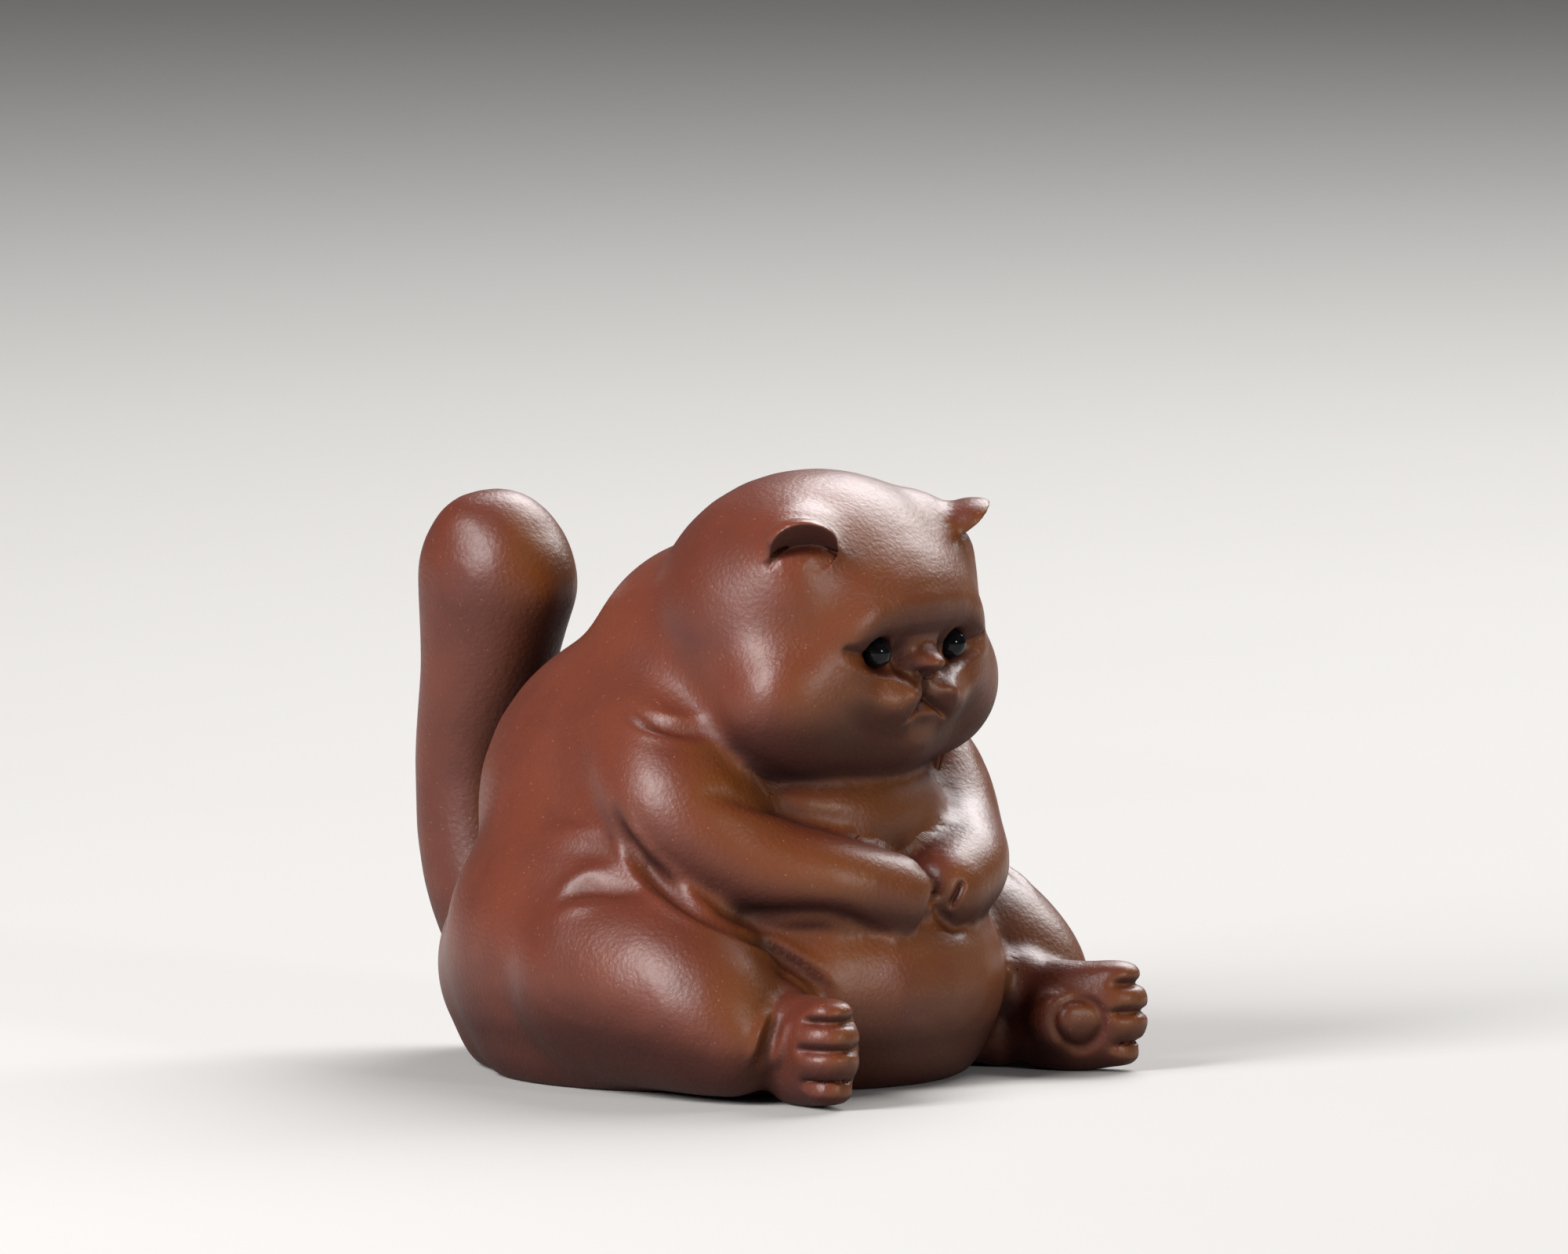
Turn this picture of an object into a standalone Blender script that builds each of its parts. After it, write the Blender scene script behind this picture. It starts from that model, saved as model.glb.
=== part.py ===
"""A cat tea pet: a fat cat that sits upright, hand-built in unglazed clay.

Each clay piece is a lump: overlapping balls of clay that a voxel remesh fuses and a smoothing softens.
A piece is cut by the pieces that it is luted to, and a thin layer of slip is left between them.
The cat sits on z = 0 and faces -Y, so that its left side is at +X. Lengths are in metres.
"""

import math

import bpy
import bmesh
from mathutils import Matrix, Vector
from mathutils.bvhtree import BVHTree

# Clay and joints
SLIP = 0.0003
WALL = 0.0045
SOFTENING = 12

# Torso: belly and chest
BELLY_CENTRE = (0.0, 0.0, 0.0125)
BELLY_RADII = (0.0330, 0.0392, 0.0225)
CHEST_CENTRE = (0.0, 0.0050, 0.0325)
CHEST_RADII = (0.0275, 0.0275, 0.0260)
BOSOM_CENTRE = (0.0, -0.0155, 0.0330)
BOSOM_RADII = (0.0200, 0.0150, 0.0110)

# Base slab and vent
SLAB_RADIUS = 0.0190
SLAB_THICKNESS = 0.0040
LEDGE = 0.0035
FLOOR_THICKNESS = 0.0080
VENT_RADIUS = 0.0050
VENT_BACK = 0.0100

# Head
SKULL_CENTRE = (0.0, -0.0155, 0.0597)
SKULL_RADII = (0.0225, 0.0190, 0.0180)
BROW_CENTRE = (0.0110, -0.0212, 0.0632)
BROW_RADII = (0.0098, 0.0095, 0.0118)
NAPE_CENTRE = (0.0, -0.0015, 0.0522)
NAPE_RADII = (0.0200, 0.0178, 0.0162)
CHEEK_CENTRE = (0.0122, -0.0222, 0.0502)
CHEEK_RADII = (0.0115, 0.0105, 0.0105)
JAW_CENTRE = (0.0, -0.0190, 0.0460)
JAW_RADII = (0.0172, 0.0144, 0.0085)
MUZZLE_CENTRE = (0.0042, -0.0305, 0.0490)
MUZZLE_RADII = (0.0055, 0.0045, 0.0042)
CHIN_CENTRE = (0.0, -0.0290, 0.0445)
CHIN_RADII = (0.0055, 0.0050, 0.0040)
NECK_RADIUS = 0.0065
NECK_BACK = -0.0060

# Features of the head
EYE_RADIUS = 0.0020
EYE_SPACING = 0.0148
EYE_HEIGHT = 0.0558
EYE_SINK = 0.0009
NOSE_RADII = (0.0021, 0.0018, 0.0016)
NOSE_HEIGHT = 0.0538
EAR_DIRECTION = (0.70, -0.50, 0.46)
EAR_LENGTH = 0.0044
EAR_WIDTH = 0.0100
EAR_THICKNESS = 0.0060
EAR_SHELL = 0.0018

# Forelegs: centre line and radii from shoulder to paw
SHOULDER = (CHEST_RADII[0] - 0.0110, -0.0030, 0.0432)
PAW = (0.0052, 0.0067 - BELLY_RADII[1], 0.0245)
ARM_LINE = (
    (SHOULDER[0] - 0.0045, SHOULDER[1] + 0.0070, SHOULDER[2] + 0.0020, 0.0085),
    (*SHOULDER, 0.0102),
    (SHOULDER[0] + 0.0062, SHOULDER[1] - 0.0090, SHOULDER[2] - 0.0070, 0.0096),
    (PAW[0] + 0.0143, PAW[1] + 0.0113, PAW[2] + 0.0045, 0.0076),
    (PAW[0] + 0.0073, PAW[1] + 0.0030, PAW[2] + 0.0020, 0.0062),
    (*PAW, 0.0058),
)

# Hind legs: thigh, shank and foot
THIGH_CENTRE = (BELLY_RADII[0] - 0.0118, 0.0020, 0.0165)
THIGH_RADII = (0.0150, 0.0260, 0.0210)
THIGH_TURN = 8.0
FOOT_CENTRE = (BELLY_RADII[0] - 0.0072, 0.0032 - BELLY_RADII[1], 0.0070)
SHANK_LINE = (
    (FOOT_CENTRE[0] + 0.0007, FOOT_CENTRE[1] + 0.0306, 0.0150, 0.0140),
    (FOOT_CENTRE[0] + 0.0024, FOOT_CENTRE[1] + 0.0206, 0.0138, 0.0126),
    (FOOT_CENTRE[0] + 0.0039, FOOT_CENTRE[1] + 0.0131, 0.0112, 0.0100),
    (FOOT_CENTRE[0] + 0.0050, FOOT_CENTRE[1] + 0.0078, 0.0080, 0.0066),
)
FOOT_RADII = (0.0050, 0.0090, 0.0073)
FOOT_SPLAY = 18.0
FOREFOOT_RADII = (0.0046, 0.0060, 0.0066)
TOE_RADII = (0.0036, 0.0034, 0.0021)
TOE_COUNT = 4
TOE_LIFT = 0.0008
SOLE_PAD_RADIUS = 0.0038
SOLE_PAD_THICKNESS = 0.0016

# Tail: centre line and radii from root to tip
TAIL_LINE = (
    (0.0, BELLY_RADII[1] - 0.0070, 0.0080, 0.0080),
    (0.0, BELLY_RADII[1] + 0.0010, 0.0210, 0.0078),
    (0.0, BELLY_RADII[1] + 0.0030, 0.0350, 0.0076),
    (0.0, BELLY_RADII[1] - 0.0002, 0.0490, 0.0094),
    (0.0, BELLY_RADII[1] - 0.0020, 0.0605, 0.0113),
)
TAIL_FLAT_RATIO = 0.82

# Fineness of the faceted solids, and the facets kept of each softened lump, in percent
NOSE_VOXEL = 0.0003
SMALL_VOXEL = 0.0004
FINE_VOXEL = 0.0006
COARSE_VOXEL = 0.0011
FACETS = {"torso": 5.5, "hollow": 3.5, "head": 11, "nose": 20, "ear": 7, "arm": 3.5, "foot": 11,
          "haunch": 8.5, "pad": 10, "tail": 10}

PARTS = "cat_tea_pet"
CUTTERS = "cutters"
BALL = "unit_ball"
GROUND_REACH = 0.2

CLAY = (0.205, 0.062, 0.038)
BELLY_CLAY = (0.225, 0.075, 0.036)
FOOT_CLAY = (0.190, 0.066, 0.052)
GLASS = (0.004, 0.004, 0.005)


def clear_scene():
    for obj in list(bpy.data.objects):
        bpy.data.objects.remove(obj)


def collection(name):
    made = bpy.data.collections.new(name)
    bpy.context.scene.collection.children.link(made)
    return made


def material(name, colour, roughness):
    made = bpy.data.materials.new(name)
    made.use_nodes = True
    shader = made.node_tree.nodes["Principled BSDF"]
    shader.inputs["Base Color"].default_value = (*colour, 1.0)
    shader.inputs["Roughness"].default_value = roughness
    shader.inputs["Metallic"].default_value = 0.0
    return made


def link(name, mesh, where, hidden=False):
    obj = bpy.data.objects.new(name, mesh)
    bpy.data.collections[where].objects.link(obj)
    if hidden:
        obj.hide_render = True
        obj.display_type = "WIRE"
    return obj


def mirrored(point, side):
    return Vector((point[0] * side, point[1], point[2]))


def unit_ball():
    mesh = bpy.data.meshes.get(BALL)
    if mesh is None:
        bm = bmesh.new()
        bmesh.ops.create_uvsphere(bm, u_segments=24, v_segments=14, radius=1.0)
        mesh = bpy.data.meshes.new(BALL)
        bm.to_mesh(mesh)
        bm.free()
    return mesh


def ball(bm, centre, radii, turn=None):
    """A ball of clay with three radii, along its own axes where it is turned."""
    mesh = unit_ball().copy()
    mesh.transform(Matrix.LocRotScale(Vector(centre), turn, Vector(radii)))
    bm.from_mesh(mesh)
    bpy.data.meshes.remove(mesh)


def strand(bm, line, side=1, flat_ratio=1.0, beads=9):
    """A rolled strand: balls set close together along a smooth curve through the line's points."""
    stops = [Vector((x * side, y, z, r)) for x, y, z, r in line]
    for before, here, there, after in spans(stops):
        for step in range(beads + 1):
            x, y, z, r = on_curve(before, here, there, after, step / beads)
            ball(bm, (x, y, z), (r * flat_ratio, r, r))


def spans(stops):
    """Each span of the line with the stops before and after it."""
    padded = [2 * stops[0] - stops[1], *stops, 2 * stops[-1] - stops[-2]]
    return zip(padded, padded[1:], padded[2:], padded[3:])


def on_curve(before, here, there, after, share):
    """A Catmull-Rom curve's point between here and there."""
    slope_here, slope_there = (there - before) / 2, (after - here) / 2
    bend = 3 * (there - here) - 2 * slope_here - slope_there
    twist = 2 * (here - there) + slope_here + slope_there
    return here + share * (slope_here + share * (bend + share * twist))


def soften(obj, voxel, kind):
    """Fuses the balls of a lump, smooths the joins and thins out the facets."""
    fuse = obj.modifiers.new("fuse", "REMESH")
    fuse.mode = "VOXEL"
    fuse.voxel_size = voxel
    smooth = obj.modifiers.new("smooth", "SMOOTH")
    smooth.factor = 0.5
    smooth.iterations = SOFTENING
    thin = obj.modifiers.new("thin", "DECIMATE")
    thin.ratio = FACETS[kind] / 100


def lump(name, shape, finish, voxel, kind):
    """A clay piece, and the seat: the same lump grown by the slip, which cuts its neighbours."""
    bm = bmesh.new()
    shape(bm)
    mesh = bpy.data.meshes.new(name)
    bm.to_mesh(mesh)
    bm.free()
    mesh.materials.append(finish)
    piece = link(name, mesh, PARTS)
    seat = link(name + "_seat", mesh, CUTTERS, hidden=True)
    for obj in (piece, seat):
        soften(obj, voxel, kind)
    grow = seat.modifiers.new("slip", "DISPLACE")
    grow.strength = SLIP
    grow.mid_level = 0.0
    return piece, seat


def cut(piece, *cutters):
    for cutter in cutters:
        change = piece.modifiers.new(cutter.name, "BOOLEAN")
        change.operation = "DIFFERENCE"
        change.object = cutter


def cutter_from(name, shape):
    bm = bmesh.new()
    shape(bm)
    mesh = bpy.data.meshes.new(name)
    bm.to_mesh(mesh)
    bm.free()
    return link(name, mesh, CUTTERS, hidden=True)


def block(bm, low, high):
    low, high = Vector(low), Vector(high)
    place = Matrix.LocRotScale((low + high) / 2, None, high - low)
    bmesh.ops.create_cube(bm, size=1.0, matrix=place)


def drum(bm, centre, radius, low, high, segments=48):
    """An upright round post between two heights."""
    place = Matrix.Translation((centre[0], centre[1], (low + high) / 2))
    bmesh.ops.create_cone(bm, cap_ends=True, segments=segments, radius1=radius, radius2=radius,
                          depth=high - low, matrix=place)


def surface_point(obj, start, direction):
    """Where a line from start first meets the softened lump."""
    graph = bpy.context.evaluated_depsgraph_get()
    tree = BVHTree.FromObject(obj, graph)
    point, normal, _, _ = tree.ray_cast(Vector(start), Vector(direction))
    return point, normal


def torso_shape(inset=0.0):
    def shape(bm):
        for centre, radii in ((BELLY_CENTRE, BELLY_RADII), (CHEST_CENTRE, CHEST_RADII),
                              (BOSOM_CENTRE, BOSOM_RADII)):
            ball(bm, centre, [r - inset for r in radii])
    return shape


def head_shape(bm):
    ball(bm, SKULL_CENTRE, SKULL_RADII)
    ball(bm, NAPE_CENTRE, NAPE_RADII)
    ball(bm, JAW_CENTRE, JAW_RADII)
    ball(bm, CHIN_CENTRE, CHIN_RADII)
    for side in (-1, 1):
        ball(bm, mirrored(CHEEK_CENTRE, side), CHEEK_RADII)
        ball(bm, mirrored(BROW_CENTRE, side), BROW_RADII)
        ball(bm, mirrored(MUZZLE_CENTRE, side), MUZZLE_RADII)


def arm_shape(side):
    def shape(bm):
        strand(bm, ARM_LINE, side)
    return shape


def haunch_shape(side):
    def shape(bm):
        ball(bm, mirrored(THIGH_CENTRE, side), THIGH_RADII, upright_turn(THIGH_TURN * side))
        strand(bm, SHANK_LINE, side)
    return shape


def upright_turn(degrees):
    return Matrix.Rotation(math.radians(degrees), 3, "Z")


def foot_place(side, along, out, up):
    """A point of the foot: along it from heel to toe, out of its sole, and up, from its centre."""
    splay = math.radians(FOOT_SPLAY) * side
    heel_to_toe = Vector((math.sin(splay), -math.cos(splay), 0.0))
    sole_out = Vector((-math.cos(splay), -math.sin(splay), 0.0)) * side
    return mirrored(FOOT_CENTRE, side) + heel_to_toe * along + sole_out * out + Vector((0, 0, up))


def foot_shape(side):
    def shape(bm):
        splay = upright_turn(FOOT_SPLAY * side)
        ball(bm, mirrored(FOOT_CENTRE, side), FOOT_RADII, splay)
        forefoot = FOOT_RADII[1] - 0.75 * FOREFOOT_RADII[1]
        ball(bm, foot_place(side, forefoot, 0.0, TOE_LIFT), FOREFOOT_RADII, splay)
        reach = FOOT_RADII[1] - TOE_RADII[1] / 2
        pitch = 2 * (FOREFOOT_RADII[2] - TOE_RADII[2]) / (TOE_COUNT - 1)
        for toe in range(TOE_COUNT):
            up = -FOREFOOT_RADII[2] + TOE_RADII[2] + toe * pitch
            retreat = 0.25 * abs(up)
            ball(bm, foot_place(side, reach - retreat, 0.0, up + TOE_LIFT), TOE_RADII, splay)
    return shape


def tail_shape(bm):
    strand(bm, TAIL_LINE, flat_ratio=TAIL_FLAT_RATIO)


def ear_axes(side):
    """The ear's own axes: out of the head, across the ear and out of its upper face."""
    outward = mirrored(EAR_DIRECTION, side).normalized()
    across = Vector((0, 0, 1)).cross(outward).normalized()
    above = outward.cross(across)
    return Matrix((outward, across, above)).transposed()


def make_torso(ground):
    body, seat = lump("body_shell", torso_shape(), material("belly clay", BELLY_CLAY, 0.42),
                      COARSE_VOXEL, "torso")
    hollow = cutter_from("body_hollow", torso_shape(WALL))
    soften(hollow, COARSE_VOXEL, "hollow")
    floor = cutter_from("body_floor", lambda bm: block(
        bm, (-GROUND_REACH, -GROUND_REACH, -GROUND_REACH), (GROUND_REACH, GROUND_REACH, FLOOR_THICKNESS)))
    cut(hollow, floor)
    recess = cutter_from("slab_recess", lambda bm: drum(
        bm, (0, 0), SLAB_RADIUS + SLIP, -SLAB_THICKNESS, SLAB_THICKNESS + SLIP))
    mouth = cutter_from("slab_mouth", lambda bm: drum(
        bm, (0, 0), SLAB_RADIUS - LEDGE, -SLAB_THICKNESS, FLOOR_THICKNESS + LEDGE))
    neck = cutter_from("neck_hole", lambda bm: drum(
        bm, (0, NECK_BACK), NECK_RADIUS, CHEST_CENTRE[2], SKULL_CENTRE[2]))
    cut(body, ground, hollow, recess, mouth, neck)
    cut(seat, ground)
    return body, seat, neck


def make_slab():
    bm = bmesh.new()
    drum(bm, (0, 0), SLAB_RADIUS, 0.0, SLAB_THICKNESS)
    mesh = bpy.data.meshes.new("base_slab")
    bm.to_mesh(mesh)
    bm.free()
    mesh.materials.append(material("slab clay", CLAY, 0.6))
    slab = link("base_slab", mesh, PARTS)
    vent = cutter_from("vent_hole", lambda bm: drum(
        bm, (0, VENT_BACK), VENT_RADIUS, -SLAB_THICKNESS, 2 * SLAB_THICKNESS, segments=24))
    cut(slab, vent)


def make_head(torso_seat, neck):
    head, seat = lump("head_shell", head_shape, material("head clay", CLAY, 0.42), COARSE_VOXEL, "head")
    hollow = cutter_from("head_hollow", lambda bm: ball(
        bm, SKULL_CENTRE, [r - WALL for r in SKULL_RADII]))
    cut(head, torso_seat, hollow, neck)
    return head, seat


def make_eyes(head, head_seat):
    for side, word in ((-1, "right"), (1, "left")):
        skin, _ = surface_point(head_seat, (side * EYE_SPACING / 2, -GROUND_REACH, EYE_HEIGHT), (0, 1, 0))
        centre = skin + Vector((0, EYE_SINK, 0))
        socket = cutter_from(word + "_socket", lambda bm: ball(bm, centre, [EYE_RADIUS + SLIP] * 3))
        cut(head, socket)
        bm = bmesh.new()
        bmesh.ops.create_uvsphere(bm, u_segments=18, v_segments=10, radius=EYE_RADIUS)
        mesh = bpy.data.meshes.new(word + "_eye")
        bm.to_mesh(mesh)
        bm.free()
        mesh.shade_smooth()
        mesh.materials.append(material(word + " eye glass", GLASS, 0.05))
        eye = link(word + "_eye", mesh, PARTS)
        eye.location = centre


def make_nose(head_seat):
    skin, _ = surface_point(head_seat, (0, -GROUND_REACH, NOSE_HEIGHT), (0, 1, 0))
    nose, seat = lump("nose", lambda bm: ball(bm, skin, NOSE_RADII), material("nose clay", CLAY, 0.4),
                      NOSE_VOXEL, "nose")
    cut(nose, head_seat)


def make_ears(head_seat):
    """Each ear is a small visor: a flat ball on the skull, hollowed from outside and below."""
    for side, word in ((-1, "right"), (1, "left")):
        axes = ear_axes(side)
        outward, above = axes.col[0], axes.col[2]
        root, _ = surface_point(head_seat, Vector(SKULL_CENTRE) + outward * GROUND_REACH, -outward)
        radii = (EAR_LENGTH, EAR_WIDTH / 2, EAR_THICKNESS / 2)
        ear, _ = lump(word + "_ear", lambda bm: ball(bm, root, radii, axes),
                      material(word + " ear clay", CLAY, 0.42), SMALL_VOXEL, "ear")
        hollow_radii = (EAR_LENGTH, EAR_WIDTH / 2 - EAR_SHELL, EAR_THICKNESS / 2)
        hollow_at = root + outward * EAR_SHELL * 1.5 - above * EAR_SHELL
        hollow = cutter_from(word + "_ear_hollow", lambda bm: ball(bm, hollow_at, hollow_radii, axes))
        cut(ear, head_seat, hollow)


def make_arms(torso_seat, head_seat):
    seats = []
    median = cutter_from("right_of_median", lambda bm: block(
        bm, (-SLIP / 2, -GROUND_REACH, -GROUND_REACH), (GROUND_REACH, GROUND_REACH, GROUND_REACH)))
    other = cutter_from("left_of_median", lambda bm: block(
        bm, (-GROUND_REACH, -GROUND_REACH, -GROUND_REACH), (SLIP / 2, GROUND_REACH, GROUND_REACH)))
    for side, word, beyond in ((-1, "right", median), (1, "left", other)):
        arm, seat = lump(word + "_arm", arm_shape(side), material(word + " arm clay", CLAY, 0.42),
                         FINE_VOXEL, "arm")
        cut(arm, torso_seat, head_seat, beyond)
        seats.append(seat)
    return seats


def make_legs(ground, torso_seat, arm_seats):
    for side, word, arm_seat in ((-1, "right", arm_seats[0]), (1, "left", arm_seats[1])):
        foot, foot_seat = lump(word + "_foot", foot_shape(side),
                               material(word + " foot clay", FOOT_CLAY, 0.45), FINE_VOXEL, "foot")
        cut(foot, torso_seat, ground)
        pad_seat = make_sole_pad(side, word, foot_seat)
        haunch, _ = lump(word + "_haunch", haunch_shape(side),
                         material(word + " haunch clay", CLAY, 0.42), COARSE_VOXEL, "haunch")
        cut(haunch, torso_seat, arm_seat, foot_seat, pad_seat, ground, sole_side(side, word))


def sole_side(side, word):
    """The room on the sole's side of the foot, from the heel forward, which the haunch stays out of."""
    place = foot_place(side, GROUND_REACH / 2 - FOOT_RADII[1] - SLIP, GROUND_REACH / 2, 0.0)
    room = Matrix.LocRotScale(place, upright_turn(FOOT_SPLAY * side), Vector((GROUND_REACH,) * 3))
    return cutter_from(word + "_sole_side", lambda bm: bmesh.ops.create_cube(bm, size=1.0, matrix=room))


def make_sole_pad(side, word, foot_seat):
    out = foot_place(side, 0.0, 1.0, 0.0) - foot_place(side, 0.0, 0.0, 0.0)
    sole, _ = surface_point(foot_seat, foot_place(side, 0.0, GROUND_REACH, 0.0), -out)
    radii = (SOLE_PAD_THICKNESS, SOLE_PAD_RADIUS, SOLE_PAD_RADIUS)
    pad, seat = lump(word + "_sole_pad", lambda bm: ball(bm, sole, radii, upright_turn(FOOT_SPLAY * side)),
                  material(word + " pad clay", FOOT_CLAY, 0.45), SMALL_VOXEL, "pad")
    cut(pad, foot_seat)
    return seat


def make_tail(ground, torso_seat, head_seat):
    tail, _ = lump("tail", tail_shape, material("tail clay", CLAY, 0.42), COARSE_VOXEL, "tail")
    cut(tail, torso_seat, head_seat, ground)


def main():
    clear_scene()
    for name in (PARTS, CUTTERS):
        collection(name)
    ground = cutter_from("ground", lambda bm: block(
        bm, (-GROUND_REACH, -GROUND_REACH, -GROUND_REACH), (GROUND_REACH, GROUND_REACH, 0.0)))
    _, torso_seat, neck = make_torso(ground)
    make_slab()
    head, head_seat = make_head(torso_seat, neck)
    make_eyes(head, head_seat)
    make_nose(head_seat)
    make_ears(head_seat)
    arm_seats = make_arms(torso_seat, head_seat)
    make_legs(ground, torso_seat, arm_seats)
    make_tail(ground, torso_seat, head_seat)


if __name__ == "__main__":
    main()
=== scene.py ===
"""Dresses the cat tea pet: its clay pieces are fused to one skin, modelled with strokes and parted again.

Strokes that follow the photograph are written in its pixels, and rays from its camera lay them on the clay.
A stroke that shows on one side of the cat is pressed into both sides, unless it says otherwise.
"""

import math

import bmesh
import bpy
import numpy as np
from bpy.props import FloatProperty, FloatVectorProperty, IntProperty, PointerProperty
from mathutils import Matrix, Vector
from mathutils.bvhtree import BVHTree


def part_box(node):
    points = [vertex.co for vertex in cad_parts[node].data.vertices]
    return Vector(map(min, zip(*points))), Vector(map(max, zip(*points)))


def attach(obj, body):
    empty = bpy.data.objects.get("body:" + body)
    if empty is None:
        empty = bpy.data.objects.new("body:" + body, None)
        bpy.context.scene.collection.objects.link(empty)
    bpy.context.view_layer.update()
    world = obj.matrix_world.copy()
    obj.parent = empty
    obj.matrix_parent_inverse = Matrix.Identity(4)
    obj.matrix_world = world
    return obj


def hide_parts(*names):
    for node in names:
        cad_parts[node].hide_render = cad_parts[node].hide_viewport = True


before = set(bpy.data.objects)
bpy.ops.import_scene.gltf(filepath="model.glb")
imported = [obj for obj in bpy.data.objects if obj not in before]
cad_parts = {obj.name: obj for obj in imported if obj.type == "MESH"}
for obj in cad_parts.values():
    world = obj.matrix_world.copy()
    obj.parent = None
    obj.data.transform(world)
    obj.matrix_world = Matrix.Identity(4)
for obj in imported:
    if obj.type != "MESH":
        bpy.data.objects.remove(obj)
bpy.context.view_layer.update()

bl_info = {
    "name": "Cat tea pet",
    "version": (1, 0, 0),
    "blender": (4, 5, 0),
    "location": "3D View > Sidebar > Tea pet",
    "description": "Models, finishes and lights a clay cat tea pet",
    "category": "Object",
}

MM = 0.001
MIRROR_FADE = 6.0  # mm over which a mirrored stroke fades in
WELD = 0.001 * MM
GOLDEN_ANGLE = math.pi * (3 - math.sqrt(5))
SKIN = "clay_skin"
BEADS = ("left_eye", "right_eye")
EARS = ("left_ear", "right_ear")
SLAB = "base_slab"
CLAY_NODES = [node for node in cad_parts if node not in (*BEADS, SLAB)]


def put(name, data):
    """An object of the scene that shows a mesh, a lamp or a camera."""
    obj = bpy.data.objects.new(name, data)
    bpy.context.scene.collection.objects.link(obj)
    return obj


def stand_for(piece, node):
    """Puts a piece in a CAD node's place."""
    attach(piece, "root")
    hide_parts(node)


class PhotoCamera:
    """The photograph's camera: where it stands, and the ray through each of its pixels."""

    azimuth = math.radians(-50)
    elevation = math.radians(6)
    size = (2000, 1600)
    pixels_per_metre = 10000
    origin_pixel = (919, 1360)
    distance = 6.0
    sensor = 36.0

    def __init__(self):
        a, e = self.azimuth, self.elevation
        self.back = Vector((math.sin(a) * math.cos(e), -math.cos(a) * math.cos(e), math.sin(e)))
        self.turn = (-self.back).to_track_quat("-Z", "Y")
        self.right = self.turn @ Vector((1, 0, 0))
        self.up = self.turn @ Vector((0, 1, 0))
        middle = (self.size[0] / 2 - self.origin_pixel[0], self.origin_pixel[1] - self.size[1] / 2)
        self.aim = (self.right * middle[0] + self.up * middle[1]) / self.pixels_per_metre
        self.place = self.aim + self.back * self.distance

    def ray(self, x, y):
        across = (x - self.size[0] / 2) / self.pixels_per_metre
        rise = (self.size[1] / 2 - y) / self.pixels_per_metre
        return (self.aim + self.right * across + self.up * rise - self.place).normalized()

    def make(self):
        data = bpy.data.cameras.new("camera")
        data.sensor_width = self.sensor
        data.lens = self.sensor * self.distance * self.pixels_per_metre / self.size[0]
        data.clip_start, data.clip_end = 0.05, 20
        camera = put("camera", data)
        camera.location = self.place
        camera.rotation_mode = "QUATERNION"
        camera.rotation_quaternion = self.turn
        bpy.context.scene.camera = camera


def curve_points(stops, spacing):
    """A smooth curve through the stops, as points about a spacing apart."""
    stops = np.asarray(stops, dtype=float)
    if len(stops) == 1:
        return stops
    padded = np.vstack([2 * stops[0] - stops[1], stops, 2 * stops[-1] - stops[-2]])
    made = []
    for before, here, there, after in zip(padded, padded[1:], padded[2:], padded[3:]):
        count = max(2, int(np.linalg.norm(there - here) / spacing))
        t = np.arange(count)[:, None] / count
        slope, slope_there = (there - before) / 2, (after - here) / 2
        bend = 3 * (there - here) - 2 * slope - slope_there
        twist = 2 * (here - there) + slope + slope_there
        made.append(here + t * (slope + t * (bend + t * twist)))
    return np.vstack([*made, stops[-1:]])


def step(value):
    """0 below 0, 1 above 1 and smooth between them."""
    value = np.clip(value, 0, 1)
    return value * value * (3 - 2 * value)


def bell(value, width):
    return np.exp(-(value / width) ** 2)


def folded(points):
    """The points with the cat's right side laid on its left."""
    return np.column_stack([np.abs(points[:, 0]), points[:, 1:]])


def gap_to(stops, x, z):
    """The distance of each point to a line through the stops."""
    line = curve_points(stops, 0.1)
    return np.min(np.hypot(x[:, None] - line[:, 0], z[:, None] - line[:, 1]), axis=1)


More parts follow.
